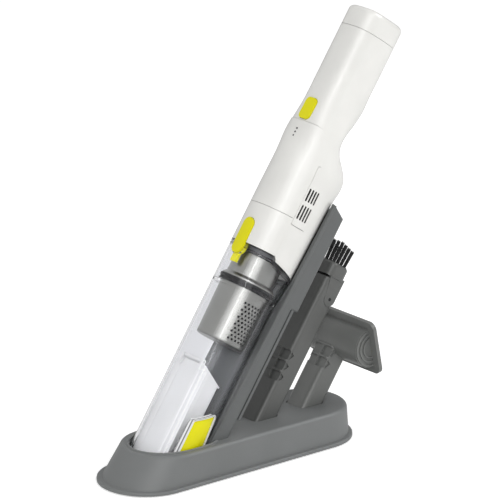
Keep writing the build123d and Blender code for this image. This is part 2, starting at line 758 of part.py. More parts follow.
for name, side in (("vent_grille_left", -1), ("vent_grille_right", 1)):
    grille = tilt((proud_skin & side_prism(vent_plan, side)) - inside)
    for foot, length in SLOT_ROWS:
        for i in range(SLOTS):
            x = PARTING_X + SLOT_START + i * SLOT_PITCH
            plan = Pos(x, foot + length / 2) * SlotOverall(length, SLOT_WIDTH, rotation=90)
            grille -= tilt(side_prism(plan, side))
    save(name, grille)

# Exhaust foam: a dark pad behind each grille
pads = []
pad_low = SLOT_ROWS[0][0] - 2
pad_high = SLOT_ROWS[1][0] + SLOT_ROWS[1][1] + 2
pad_length = (SLOTS - 1) * SLOT_PITCH + 2 * SLOT_WIDTH
pad_x = PARTING_X + SLOT_START + (SLOTS - 1) * SLOT_PITCH / 2
for side in (-1, 1):
    pad = Pos(pad_x, side * (FOAM_SEAT - FOAM_THICK / 2), (pad_low + pad_high) / 2)
    pads.append(tilt(pad * Box(pad_length, FOAM_THICK, pad_high - pad_low)))
save("exhaust_foam", Compound(pads))

# End cap of the handle
cap_foot = CAP_SEAM + SEAM / 2
grip = (GRIP_FRONT, GRIP_REAR, GRIP_HALF, GRIP_FULLNESS)
cap = extrude(body_section(cap_foot, *grip, 0), amount=GRIP_END - cap_foot)
cap = fillet(cap.faces().sort_by(Axis.Z)[-1].edges(), CAP_EDGE)
cap -= extrude(body_section(cap_foot, *grip, BODY_WALL), amount=GRIP_END - CAP_EDGE - 1 - cap_foot)
save("end_cap", tilt(cap))

# Charging plates let into the rear of the main shell
plate_outer = body_form(PLATE_SUNK)
plate_inner = body_form(BODY_WALL + 0.6)
plates = []
for side in (-1, 1):
    spot = Pos(0, side * PIN_SPREAD, PIN_HEIGHT) * Rot(0, 90, 0)
    bore = extrude(spot * Circle(PIN_RADIUS + 1), amount=60)
    main_shell -= bore
    disc = extrude(spot * Circle(PIN_RADIUS + 1 - SHAFT_GAP), amount=60)
    plates.append(tilt((disc & plate_outer) - plate_inner))
save("charge_plates", Compound(plates))
save("main_shell", tilt(main_shell))
save("front_cover", tilt(upper_cover))
save("latch_cover", tilt(latch_cover))

# Bulkhead with a skirt that plugs into the cup's rim
inner_reach = BODY_RADIUS - BODY_WALL - PLUG_GAP


def lower_plug(low, high, inset):
    """Plug that fills the inside of the lower body, drawn in by inset."""
    stretch = BODY_FOOT_REAR - BODY_RADIUS
    plan = Pos(stretch / 2, 0, low) * SlotCenterToCenter(stretch, 2 * (inner_reach - inset))
    return extrude(plan, amount=high - low)


bulkhead = lower_plug(BULKHEAD_FOOT, FAN_FOOT - 1.0, 0)
bulkhead -= lower_plug(BULKHEAD_FOOT + BULKHEAD_THICK, FAN_FOOT, 2.0)
bulkhead -= rod(MOTOR_X, 0, 0, 300, FAN_RADIUS - 8)
release_room = front_prism(offset(release_plan, RELEASE_ROOM)) & (Pos(-30, 0, RIM_FRONT) * Box(22, 60, 60))
bulkhead -= release_room
save("motor_bulkhead", tilt(bulkhead))

# Motor in a rubber ring, with its fan on the shaft
motor_top = MOTOR_FOOT + MOTOR_LENGTH
motor = rod(MOTOR_X, 0, MOTOR_FOOT, motor_top, MOTOR_RADIUS)
motor = chamfer(motor.edges().filter_by(GeomType.CIRCLE), MOTOR_EDGE)
motor += rod(MOTOR_X, 0, motor_top, motor_top + 4, MOTOR_RADIUS * 0.45)
motor -= rod(MOTOR_X, 0, MOTOR_FOOT - 1, MOTOR_FOOT + 12, SHAFT_RADIUS + SHAFT_GAP)
save("motor", tilt(motor))
mount = lower_plug(MOTOR_FOOT + 6, MOTOR_FOOT + 13, 0)
mount -= rod(MOTOR_X, 0, 0, 400, MOTOR_RADIUS + SHAFT_GAP)
mount -= release_room
save("motor_mount", tilt(mount))
fan_top = FAN_FOOT + FAN_HEIGHT
fan = rod(MOTOR_X, 0, FAN_FOOT, FAN_FOOT + 1.4, FAN_RADIUS)
fan += rod(MOTOR_X, 0, FAN_FOOT, fan_top, 5.0)
for blade in range(FAN_BLADES):
    vane = Pos(FAN_RADIUS / 2 + 1.5, 0, (FAN_FOOT + fan_top) / 2) * Rot(0, 0, 35) * Box(
        FAN_RADIUS - 6, 1.2, FAN_HEIGHT
    )
    fan += Pos(MOTOR_X, 0, 0) * Rot(0, 0, 360 / FAN_BLADES * blade) * vane
fan -= rod(MOTOR_X, 0, 0, 300, SHAFT_RADIUS)
save("suction_fan", tilt(fan))
save("fan_shaft", tilt(rod(MOTOR_X, 0, FAN_FOOT - 0.5, MOTOR_FOOT + 11, SHAFT_RADIUS)))

# Battery cells in a holder, and the circuit board behind the power button
cell_x = (GRIP_FRONT + GRIP_REAR) / 2
cells = []
for side in (-1, 1):
    x = cell_x + side * CELL_SPACING / 2
    cell = rod(x, 0, CELL_FOOT, CELL_FOOT + CELL_LENGTH, CELL_RADIUS)
    cell += rod(x, 0, CELL_FOOT + CELL_LENGTH, CELL_FOOT + CELL_LENGTH + 1.2, 2.8)
    cells.append(tilt(cell))
save("battery_cells", Compound(cells))
holder_gap = BODY_WALL + PLUG_GAP
holder = round_box(
    GRIP_FRONT + holder_gap, GRIP_REAR - holder_gap, GRIP_HALF - holder_gap, HOLDER_CORNER,
    CELL_FOOT - 2.0, CELL_FOOT + 6.0,
)
for side in (-1, 1):
    x = cell_x + side * CELL_SPACING / 2
    holder -= rod(x, 0, CELL_FOOT, CELL_FOOT + 20, CELL_RADIUS + SHAFT_GAP)
    rail = Pos(cell_x, side * (CELL_RADIUS + 1.6), CELL_FOOT + CELL_LENGTH / 2)
    holder += rail * Box(4, 3, CELL_LENGTH)
save("battery_holder", tilt(holder))

board_mid = (LED_HEIGHTS[0] + CELL_FOOT - 6) / 2
board_length = CELL_FOOT - 6 - LED_HEIGHTS[0] + 8
board = Pos(BOARD_X + BOARD_THICK / 2, 0, board_mid) * Box(BOARD_THICK, BOARD_WIDTH, board_length)
switch_top = GRIP_FRONT + BODY_WALL + 2.0 + POWER_TRAVEL
power_mid = (POWER_LOW + POWER_HIGH) / 2
board += Pos((switch_top + BOARD_X) / 2, 0, power_mid) * Box(BOARD_X - switch_top, SWITCH_SIZE, SWITCH_SIZE)
save("circuit_board", tilt(board))
lenses = []
for height in LED_HEIGHTS:
    front = -BODY_RADIUS + 0.2
    lens = Pos((front + BOARD_X) / 2, 0, height) * Rot(0, 90, 0) * Cylinder(LED_RADIUS, BOARD_X - front)
    lenses.append(tilt(lens))
save("led_lenses", Compound(lenses))

# Power button: a soft-edged key with a flange behind the wall
key = front_prism(power_plan) & body_form(-POWER_PROUD)
key &= Pos(GRIP_FRONT + 1, 0, power_mid) * Box(2 * BODY_WALL + 6, 40, 60)
key_back = GRIP_FRONT + BODY_WALL + 0.8
flange_plan = offset(power_plan, 1.2)
key += extrude(Plane.YZ * flange_plan, amount=1.2).moved(Location((key_back, 0, 0)))
key &= Pos(key_back + 1.2 - 50, 0, power_mid) * Box(100, 40, 60)
save("power_button", tilt(key))

# Release button: a long pill that follows the body's round front, with a catch in the cup's notch
pill = front_prism(release_plan) & body_form(-RELEASE_PROUD) & slab(RIM_REAR - 6, FAR)
pill -= Pos(0, 0, 215) * Box(2 * (BODY_RADIUS - BODY_WALL - 2.6), 60, 120)
catch_low = RELEASE_LOW - CATCH_DROP
catch_high = RELEASE_LOW + CATCH_DROP + 1
catch_x = -CUP_RADIUS + CUP_WALL + 0.6
pill += Pos(catch_x + CATCH_THICK / 2, 0, (catch_low + catch_high) / 2) * Box(
    CATCH_THICK, RELEASE_WIDTH - 5, catch_high - catch_low
)
save("release_button", tilt(pill))

# Crevice tool: a square tube on a ribbed foot, with side recesses for the brush's arms
crevice = round_box(CREVICE_FRONT, CREVICE_REAR, CREVICE_HALF, TOOL_CORNER, 0, HEAD_FOOT - HEAD_GAP)
crevice -= round_box(
    CREVICE_FRONT + BORE_WALL, CREVICE_REAR - BORE_WALL, CREVICE_HALF - BORE_WALL - 1.6, 1.5, -10, 300
)
arm_points = outline(
    (PIVOT_X - ARM_RADIUS, PIVOT_HEIGHT),
    (CREVICE_FRONT + 3, HEAD_FOOT),
    (CREVICE_FRONT + 3, HEAD_FOOT + 40),
    (CREVICE_REAR + 30, HEAD_FOOT + 40),
    (CREVICE_REAR + 30, PIVOT_HEIGHT - ARM_RADIUS - 0.5),
    (PIVOT_X, PIVOT_HEIGHT - ARM_RADIUS - 0.5),
)
arm_bed = prism(arm_points) + cross_rod(PIVOT_X, PIVOT_HEIGHT, FAR / 2, ARM_RADIUS + 0.5)
inner_half = CREVICE_HALF - ARM_THICK - ARM_GAP
for side in (-1, 1):
    outer_half = Pos(0, side * (inner_half + 50), 150) * Box(400, 100, 400)
    crevice -= arm_bed & outer_half
crevice -= cross_rod(PIVOT_X, PIVOT_HEIGHT, FAR / 2, PIVOT_RADIUS)


def neck_pockets(front, half, low, rows, height, depth):
    """Coring pockets in a tool's front face and front corners, with ribs left between them."""
    cuts = []
    rib = 1.7
    for row in range(rows):
        mid = low + row * height + height / 2
        for side in (-1, 1):
            cut = Pos(front, side * half / 2, mid) * Box(2 * depth, half - rib, height - rib)
            cuts.append(cut)
            cut = Pos(front + 3, side * half, mid) * Rot(0, 30, 0) * Box(4.0, 2.4, height - 3 * rib)
            cuts.append(cut)
    return cuts


crevice = crevice - neck_pockets(CREVICE_FRONT, CREVICE_HALF, 121, 3, 10, POCKET_DEPTH)
save("crevice_tool", tilt(crevice) & above(PLUG_DEPTH_Z))
save("brush_pin", tilt(cross_rod(PIVOT_X, PIVOT_HEIGHT, CREVICE_HALF - 0.2, PIVOT_RADIUS)))

# Brush head: a yoke that swings on the tool, with a ring of bristle tufts
arm_plan = outline(
    (PIVOT_X - ARM_RADIUS, PIVOT_HEIGHT),
    (CREVICE_FRONT + 3.6, HEAD_FOOT),
    (CREVICE_FRONT + 3.6, HEAD_FOOT + 2),
    (CREVICE_REAR, HEAD_FOOT + 2),
    (PIVOT_X + ARM_RADIUS, PIVOT_HEIGHT),
)
arms = prism(arm_plan, CREVICE_HALF) + cross_rod(PIVOT_X, PIVOT_HEIGHT, CREVICE_HALF, ARM_RADIUS)
arms -= Pos(PIVOT_X, 0, PIVOT_HEIGHT) * Box(80, 2 * (inner_half + ARM_GAP), 120)
grow = HEAD_PROUD
head = round_box(
    CREVICE_FRONT - grow, CREVICE_REAR + grow, CREVICE_HALF + grow, TOOL_CORNER + 2, HEAD_FOOT, HEAD_TOP
)
head = fillet(head.faces().sort_by(Axis.Z)[-1].edges(), HEAD_EDGE)
brush_x = (CREVICE_FRONT + CREVICE_REAR) / 2
half_length = (CREVICE_REAR - CREVICE_FRONT) / 2
hole_x = half_length - HEAD_HOLE
hole_y = CREVICE_HALF - HEAD_HOLE
head -= round_box(brush_x - hole_x, brush_x + hole_x, hole_y, HEAD_EDGE, HEAD_FOOT - 5, HEAD_TOP + 5)
yoke = head + arms
yoke -= cross_rod(PIVOT_X, PIVOT_HEIGHT, FAR / 2, PIVOT_RADIUS + SHAFT_GAP)
save("brush_head", tilt(yoke))

ring_top = HEAD_TOP + RING_THICK
ring_inset = RING_INSET - HEAD_PROUD
ring = round_box(
    CREVICE_FRONT + ring_inset, CREVICE_REAR - ring_inset, CREVICE_HALF - ring_inset, RING_CORNER,
    HEAD_TOP, ring_top,
)
ring -= round_box(brush_x - hole_x, brush_x + hole_x, hole_y, HEAD_EDGE, HEAD_FOOT, HEAD_TOP + 5)
tuft_x = half_length - TUFT_INSET
tuft_y = CREVICE_HALF - TUFT_INSET
tufts = []
for i in range(4):
    for side in (-1, 1):
        tufts.append((tuft_x * (2 * i / 3 - 1), side * tuft_y))
for i in range(1, 4):
    for side in (-1, 1):
        tufts.append((side * tuft_x, tuft_y * (2 * i / 4 - 1)))
strands = []
for u, v in tufts:
    for count, share in STRAND_RINGS:
        for k in range(count):
            angle = 2 * pi * k / count
            du = TUFT_RADIUS * share * cos(angle)
            dv = TUFT_RADIUS * share * sin(angle)
            lean_x = (u + du) * TUFT_SPREAD + du * STRAND_SPREAD
            lean_y = (v + dv) * TUFT_SPREAD + dv * STRAND_SPREAD
            length = BRISTLE_LENGTH - BRUSH_SLANT * (u + du)
            root = Pos(brush_x + u + du, v + dv, HEAD_TOP + RING_THICK / 2) * Rot(0, 0, 60 * k)
            direction = Vector(lean_x, lean_y, 1).normalized()
            strands.append(
                extrude(root * RegularPolygon(BRISTLE_RADIUS, 3), amount=length, dir=direction)
            )
bristles = ring + strands
save("brush_bristles", tilt(bristles))

# Upholstery tool: a ribbed foot, a half-round plenum and a wide mouth with a lip
neck_axis = (UPHOLSTERY_FRONT + UPHOLSTERY_REAR) / 2
mouth_place = Location((BASE_X + MOUTH_X, 0, MOUTH_Z), (0, 90 - MOUTH_TILT, 0))
neck_top = at_height(MOUTH_Z, neck_axis)
neck = round_box(UPHOLSTERY_FRONT, UPHOLSTERY_REAR, UPHOLSTERY_HALF, TOOL_CORNER, 0, neck_top + 12)
neck_bore = round_box(
    UPHOLSTERY_FRONT + BORE_WALL, UPHOLSTERY_REAR - BORE_WALL, UPHOLSTERY_HALF - BORE_WALL, 1.5,
    -10, neck_top + 2,
)
neck = neck - neck_pockets(UPHOLSTERY_FRONT, UPHOLSTERY_HALF, 150, 3, 10.5, POCKET_DEPTH)
lip = extrude(RectangleRounded(MOUTH_HEIGHT, MOUTH_WIDTH, 6.5), amount=-MOUTH_LIP)
mouth_inner = 2 * (PLENUM_RADIUS - PLENUM_WALL)


def half_round(radius, width, depth):
    """Half-round trough lying behind the mouth's face."""
    trough = Pos(0, 0, -depth) * Rot(90, 0, 0) * Cylinder(radius, width)
    return trough - Pos(0, 0, 50 - depth) * Box(400, 400, 100)


plenum = half_round(PLENUM_RADIUS, PLENUM_WIDTH, MOUTH_LIP - 0.5)
for ring_radius in (PLENUM_RADIUS - 0.9, PLENUM_RADIUS - 4.6, PLENUM_RADIUS - 8.3):
    ridge = half_round(ring_radius, PLENUM_WIDTH + 2.0, MOUTH_LIP - 0.5)
    ridge -= half_round(ring_radius - 1.4, PLENUM_WIDTH + 4.0, MOUTH_LIP - 0.5)
    plenum += ridge
void = half_round(PLENUM_RADIUS - PLENUM_WALL, PLENUM_WIDTH - 2 * PLENUM_WALL, MOUTH_LIP - 0.5)
void += Pos(0, 0, -MOUTH_LIP / 2) * Box(mouth_inner, PLENUM_WIDTH - 2 * PLENUM_WALL, MOUTH_LIP + 4)
behind_face = mouth_place * Pos(0, 0, -100) * Box(300, 300, 200)
upholstery = mouth_place * (lip + plenum)
upholstery += tilt(neck) & behind_face
upholstery -= mouth_place * void
upholstery -= tilt(neck_bore)
save("upholstery_tool", upholstery & above(PLUG_DEPTH_Z))
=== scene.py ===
import math

import bpy
from mathutils import Matrix, Vector


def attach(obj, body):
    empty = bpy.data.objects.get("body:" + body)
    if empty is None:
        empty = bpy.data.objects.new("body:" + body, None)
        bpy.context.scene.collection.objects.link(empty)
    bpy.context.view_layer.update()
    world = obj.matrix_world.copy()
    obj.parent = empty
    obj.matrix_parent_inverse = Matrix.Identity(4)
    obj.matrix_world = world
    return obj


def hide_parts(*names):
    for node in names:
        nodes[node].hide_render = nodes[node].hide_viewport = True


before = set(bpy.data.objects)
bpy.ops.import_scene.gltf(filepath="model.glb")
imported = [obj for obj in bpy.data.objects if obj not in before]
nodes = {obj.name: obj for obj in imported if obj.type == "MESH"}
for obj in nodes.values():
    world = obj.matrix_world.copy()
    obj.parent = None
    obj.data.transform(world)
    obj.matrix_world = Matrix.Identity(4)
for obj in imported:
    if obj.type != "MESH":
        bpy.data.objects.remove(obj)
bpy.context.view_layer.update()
bpy.ops.object.select_all(action="DESELECT")


# Base of the stand: a low injection-moulded tray in mid-grey plastic with a fine spark-eroded
# texture, closed underneath by a screwed plate. A raised bead runs round the mouth in its deck.
class Wire:
    """A socket in a material's nodes. Sums on it add Math nodes."""

    def __init__(self, tree, socket):
        self.tree = tree
        self.socket = socket

    def node(self, kind, output=0, settings=None, **sockets):
        """Adds a node. A socket is named by its label, or by its number after an i."""
        made = self.tree.nodes.new(kind)
        for name, value in (settings or {}).items():
            if name == "stops":
                ramp = made.color_ramp
                while len(ramp.elements) < len(value):
                    ramp.elements.new(0.5)
                for element, (place, colour) in zip(ramp.elements, value):
                    element.position = place
                    element.color = colour
            else:
                setattr(made, name, value)
        for name, value in sockets.items():
            label = name.replace("_", " ")
            at = int(name[1:]) if name[0] == "i" and name[1:].isdigit() else label
            if isinstance(value, Wire):
                self.tree.links.new(value.socket, made.inputs[at])
            else:
                made.inputs[at].default_value = value
        return Wire(self.tree, made.outputs[output])

    def math(self, operation, first, second=0.0):
        return self.node("ShaderNodeMath", settings={"operation": operation}, i0=first, i1=second)

    def __add__(self, other):
        return self.math("ADD", self, other)

    def __radd__(self, other):
        return self.math("ADD", other, self)

    def __sub__(self, other):
        return self.math("SUBTRACT", self, other)

    def __rsub__(self, other):
        return self.math("SUBTRACT", other, self)

    def __mul__(self, other):
        return self.math("MULTIPLY", self, other)

    def __rmul__(self, other):
        return self.math("MULTIPLY", other, self)


def new_finish(name, **constants):
    """A material with plain values set; gives the material, its shader and a first wire."""
    material = bpy.data.materials.new(name)
    material.use_nodes = True
    shader = material.node_tree.nodes["Principled BSDF"]
    for key, value in constants.items():
        shader.inputs[key.replace("_", " ")].default_value = value
    place = material.node_tree.nodes.new("ShaderNodeTexCoord")
    return material, shader, Wire(material.node_tree, place.outputs["Object"])


def join(wire, shader, name):
    wire.tree.links.new(wire.socket, shader.inputs[name])


CLOUD_SCALE = 22.0
CLOUD_STOPS = (0.3, 0.7)
CLOUD_TONES = (0.95, 1.04)
CLOUD_GLOSS = 0.06
GRAIN_GLOSS = 0.1
GRAIN_HEIGHT = 0.0002


def moulded_plastic(name, colour, roughness, grain, depth, **constants):
    """Even colour with a faint cloud in it, and a fine grain that breaks the gloss."""
    material, shader, place = new_finish(name, **constants)
    cloud = place.node("ShaderNodeTexNoise", Vector=place, Scale=CLOUD_SCALE, Detail=3.0)
    tones = [tuple(min(part * tone, 1.0) for part in colour) + (1,) for tone in CLOUD_TONES]
    stops = list(zip(CLOUD_STOPS, tones))
    clouded = place.node("ShaderNodeValToRGB", settings={"stops": stops}, Fac=cloud)
    join(clouded, shader, "Base Color")
    fine = place.node("ShaderNodeTexNoise", Vector=place, Scale=grain, Detail=2.0)
    mean_gloss = (GRAIN_GLOSS + CLOUD_GLOSS) / 2
    join(roughness - mean_gloss + GRAIN_GLOSS * fine + CLOUD_GLOSS * cloud, shader, "Roughness")
    bump = place.node("ShaderNodeBump", Height=fine, Strength=depth, Distance=GRAIN_HEIGHT)
    join(bump, shader, "Normal")
    return material


def paint(material, *names):
    for name in names:
        nodes[name].data.materials.clear()
        nodes[name].data.materials.append(material)


SPARK_GRAIN = 1500.0
SPARK_DEPTH = 0.25
stand_grey = moulded_plastic(
    "stand_grey_plastic",
    colour=(0.175, 0.182, 0.182),
    roughness=0.46,
    grain=SPARK_GRAIN,
    depth=SPARK_DEPTH,
)
paint(stand_grey, "base_shell", "bottom_plate")

LEAN = math.radians(34.65)
FOOT_X = -0.10891
MM = 0.001
# Carries millimetres in the vacuum's own lean to the stand's frame.
leaning = Matrix.Translation((FOOT_X, 0, 0)) @ Matrix.Rotation(LEAN, 4, "Y") @ Matrix.Scale(MM, 4)


def along_lean(across, height):
    """Place along the lean at which a line across from the axis reaches a height."""
    return (height + across * math.sin(LEAN)) / math.cos(LEAN)


def face_outwards():
    """Turns the faces of the piece in hand outwards."""
    bpy.ops.object.mode_set(mode="EDIT")
    bpy.ops.mesh.select_all(action="SELECT")
    bpy.ops.mesh.normals_make_consistent(inside=False)
    bpy.ops.object.mode_set(mode="OBJECT")


DECK_HEIGHT = 29.5
MOUTH_ROUND = 29.8
MOUTH_SHIFT = 8.0
BEAD_ROUND = 1.1
BEAD_MARGIN = 1.1
BEAD_STEPS = 120
BEAD_SIDES = 10
UP = Vector((0, 0, 1))
bead_reach = MOUTH_ROUND + BEAD_MARGIN
bead_line = []
for i in range(BEAD_STEPS):
    turn = 2 * math.pi * (i + 0.5) / BEAD_STEPS
    x = bead_reach * math.cos(turn) + (MOUTH_SHIFT if math.cos(turn) > 0 else 0)
    y = bead_reach * math.sin(turn)
    bead_line.append(leaning @ Vector((x, y, along_lean(x, DECK_HEIGHT))))
bpy.ops.mesh.primitive_torus_add(major_segments=BEAD_STEPS, minor_segments=BEAD_SIDES)
mouth_bead = bpy.context.object
for i, centre in enumerate(bead_line):
    run = bead_line[(i + 1) % BEAD_STEPS] - bead_line[i - 1]
    outward = run.cross(UP).normalized()
    for k in range(BEAD_SIDES):
        turn = 2 * math.pi * k / BEAD_SIDES
        offset = math.cos(turn) * outward + math.sin(turn) * UP
        mouth_bead.data.vertices[i * BEAD_SIDES + k].co = centre + BEAD_ROUND * MM * offset
face_outwards()
bpy.ops.object.shade_smooth()
mouth_bead.name = "mouth_bead"
mouth_bead.data.materials.append(stand_grey)
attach(mouth_bead, "stand")

# Spine of the stand: a moulded channel in a darker grey that the vacuum leans on, with a screwed
# cover over the charging contacts. A lip runs along each front edge of the channel, and a
# stiffening rim down each rear edge.
spine_grey = moulded_plastic(
    "spine_grey_plastic",
    colour=(0.122, 0.128, 0.128),
    roughness=0.44,
    grain=SPARK_GRAIN,
    depth=SPARK_DEPTH,
)
paint(spine_grey, "stand_spine", "charging_cover")
SPINE_HALF = 27.0
RIM_LINE = ((36.0, 76.0), (36.0, 178.4))
RIM_DEPTH = 2.6
RIM_WIDTH = 2.4
LIP_LINE = ((20.3, 62.0), (26.2, 272.6))
LIP_DEPTH = 3.2
LIP_PROUD = 0.8
LIP_SINK = 0.6
STRIP_EDGE = 0.5
SMOOTH_ANGLE = math.radians(40)


def rounded_block(size, edge, steps):
    """A block about the origin, in millimetres, with rounded edges."""
    bpy.ops.mesh.primitive_cube_add(size=1.0)
    block = bpy.context.object
    bpy.ops.object.mode_set(mode="EDIT")
    bpy.ops.mesh.select_all(action="SELECT")
    bpy.ops.transform.resize(value=size)
    bpy.ops.object.mode_set(mode="OBJECT")
    rounding = block.modifiers.new("edges", "BEVEL")
    rounding.width = edge
    rounding.segments = steps
    bpy.ops.object.modifier_apply(modifier="edges")
    return block


def own_copy(piece):
    twin = piece.copy()
    twin.data = piece.data.copy()
    bpy.context.collection.objects.link(twin)
    return twin


def far_side_copy(piece):
    """The same piece for the other side, mirrored across the middle of the vacuum."""
    twin = own_copy(piece)
    twin.data.transform(Matrix.Scale(-1, 4, (0, 1, 0)))
    twin.data.flip_normals()
    return twin


def spine_strip(name, line, depth, inner, outer):
    """A straight moulded strip down both sides of the spine, between two points of its profile."""
    low, high = Vector(line[0]), Vector(line[1])
    run = high - low
    middle = (low + high) / 2
    strip = rounded_block((depth, outer - inner, run.length), STRIP_EDGE, 3)
    bpy.ops.object.shade_smooth_by_angle(angle=SMOOTH_ANGLE)
    place = Matrix.Translation((middle.x, -(inner + outer) / 2, middle.y))
    slant = Matrix.Rotation(math.atan2(run.x, run.y), 4, "Y")
    strip.data.transform(leaning @ place @ slant)
    for side, piece in (("left", strip), ("right", far_side_copy(strip))):
        piece.name = f"{name}_{side}"
        piece.data.materials.append(spine_grey)
        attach(piece, "stand")


spine_strip("spine_rim", RIM_LINE, RIM_DEPTH, SPINE_HALF - RIM_WIDTH, SPINE_HALF)
spine_strip("spine_lip", LIP_LINE, LIP_DEPTH, SPINE_HALF - LIP_SINK, SPINE_HALF + LIP_PROUD)

# Feet, screws, charging inlet and charge pins of the stand: rubber pads pressed into the plate,
# plated cross-head screws, a black inlet socket at the rear and gold-plated sprung pins.
rubber_black = moulded_plastic(
    "rubber_black",
    colour=(0.016, 0.016, 0.017),
    roughness=0.75,
    grain=900.0,
    depth=0.4,
    Specular_IOR_Level=0.2,
)
paint(rubber_black, "rubber_feet")
screw_steel = moulded_plastic(
    "screw_steel",
    colour=(0.52, 0.52, 0.53),
    roughness=0.35,
    grain=400.0,
    depth=0.1,
    Metallic=1.0,
)
paint(screw_steel, "base_screws", "cover_screws")
inlet_black = moulded_plastic(
    "inlet_black_plastic", colour=(0.03, 0.03, 0.032), roughness=0.4, grain=1200.0, depth=0.15
)
paint(inlet_black, "charging_inlet")
contact_gold = moulded_plastic(
    "contact_gold",
    colour=(0.72, 0.55, 0.28),
    roughness=0.3,
    grain=500.0,
    depth=0.1,
    Metallic=1.0,
)
paint(contact_gold, "charge_pins")

# Dust cup: a clear moulded tube, open at the top for the filter and held to the body by a catch.
# Its rim steps down towards the stand and is a frosted band, with painted shade in a thin dark
# line along each edge.
CUP_RIM = 0.2096
STEP_SPAN = (-0.009, -0.0065)
STEP_DROP = 0.004
SLOPE_SPAN = (-0.0065, 0.033)
SLOPE_DROP = 0.008
RIM_BAND = 0.008
FROST_EDGE = (0.0036, 0.0042)
FROST_ROUGHNESS = 0.4
CLEAR_ROUGHNESS = 0.015
HAZE = 0.02
SHADOW_LOSS = 0.97


def lean_frame(place):
    """Object coordinates in the vacuum's lean: across towards the stand, along its length."""
    turned = place.node(
        "ShaderNodeMapping",
        Vector=place,
        Location=(-FOOT_X * math.cos(LEAN), 0, -FOOT_X * math.sin(LEAN)),
        Rotation=(0, -LEAN, 0),
    )
    across = turned.node("ShaderNodeSeparateXYZ", "X", Vector=turned)
    along = turned.node("ShaderNodeSeparateXYZ", "Z", Vector=turned)
    return turned, across, along


def ramp_of(value, low, high, start, end):
    """A value carried from one span to another and held at its ends."""
    return value.node(
        "ShaderNodeMapRange",
        Value=value,
        From_Min=low,
        From_Max=high,
        To_Min=start,
        To_Max=end,
    )


cup_clear, cup_shader, cup_place = new_finish(
    "cup_clear_plastic", Transmission_Weight=1.0, IOR=1.2, Coat_Weight=0.15, Coat_Roughness=0.03
)
_, cup_across, cup_along = lean_frame(cup_place)
step = ramp_of(cup_across, *STEP_SPAN, 0.0, STEP_DROP)
slope = ramp_of(cup_across, *SLOPE_SPAN, 0.0, SLOPE_DROP)
below_rim = CUP_RIM - step - slope - cup_along
# The dark rim colours are painted shade along the rim's edges; the pale one is the frosting.
rim_edge_shade = (0.3, 0.3, 0.31, 1)
rim_frost = (0.82, 0.83, 0.85, 1)
rim_line_shade = (0.42, 0.42, 0.44, 1)
cup_tint = (0.93, 0.935, 0.955, 1)
rim_frost_and_shade_stops = [
    (0.0, rim_edge_shade),
    (0.08, rim_edge_shade),
    (0.14, rim_frost),
    (0.42, rim_frost),
    (0.47, rim_line_shade),
    (0.53, rim_line_shade),
    (0.6, cup_tint),
]
rim_frost_and_shade = cup_place.node(
    "ShaderNodeValToRGB",
    settings={"stops": rim_frost_and_shade_stops},
    Fac=ramp_of(below_rim, 0.0, RIM_BAND, 0.0, 1.0),
)
join(rim_frost_and_shade, cup_shader, "Base Color")
cup_haze = cup_place.node("ShaderNodeTexNoise", Vector=cup_place, Scale=45.0, Detail=2.0)
cup_frost = ramp_of(below_rim, *FROST_EDGE, FROST_ROUGHNESS, CLEAR_ROUGHNESS)
join(cup_frost + HAZE * cup_haze, cup_shader, "Roughness")
cup_shadow = cup_place.node("ShaderNodeLightPath", "Is Shadow Ray")
join(1.0 - SHADOW_LOSS * cup_shadow, cup_shader, "Alpha")
paint(cup_clear, "dust_cup")

# Clear frames round the nose tabs: a raised rib of the cup's own clear plastic, moulded with it
# round each tab window. The rib is painted pale as a painted highlight for the glints of clear
# plastic, with painted shade in a band along its middle for a groove and along its outer edge.
TAB_TOP = 52.2
TAB_BOTTOM = 27.0
TAB_FRONT = -8.8
TAB_REAR_TOP = 7.8
TAB_REAR_BOTTOM = 12.5
TAB_ROUND = 1.2
FRAME_INNER = 0.4
FRAME_OUTER = 2.3
FRAME_SIDE = 2.6
FRAME_HEIGHT = 1.1
FRAME_LIFT = 0.6
FRAME_EDGE = 0.3
ARC_STEPS = 4
SIDE_STEPS = 10
CUP_ROUND = 29.0


def tab_outline(front, reach):
    """Points clockwise round the tab, its corners rounded, offset outwards by a reach."""
    corners = [
        Vector((x, along_lean(x, height)))
        for x, height in (
            (front, TAB_TOP),
            (TAB_REAR_TOP, TAB_TOP),
            (TAB_REAR_BOTTOM, TAB_BOTTOM),
            (front, TAB_BOTTOM),
        )
    ]
    normals = []
    for i, corner in enumerate(corners):
        run = corners[(i + 1) % len(corners)] - corner
        normals.append(Vector((-run.y, run.x)).normalized())
    points = []
    for i, corner in enumerate(corners):
        before, after = normals[i - 1], normals[i]
        centre = corner - TAB_ROUND * (before + after) / (1 + before.dot(after))
        for k in range(ARC_STEPS + 1):
            points.append(centre + (TAB_ROUND + reach) * before.slerp(after, k / ARC_STEPS))
    full = []
    for i, point in enumerate(points):
        follow = points[(i + 1) % len(points)]
        steps = SIDE_STEPS if (i + 1) % (ARC_STEPS + 1) == 0 else 1
        full += [point.lerp(follow, k / steps) for k in range(steps)]
    return full


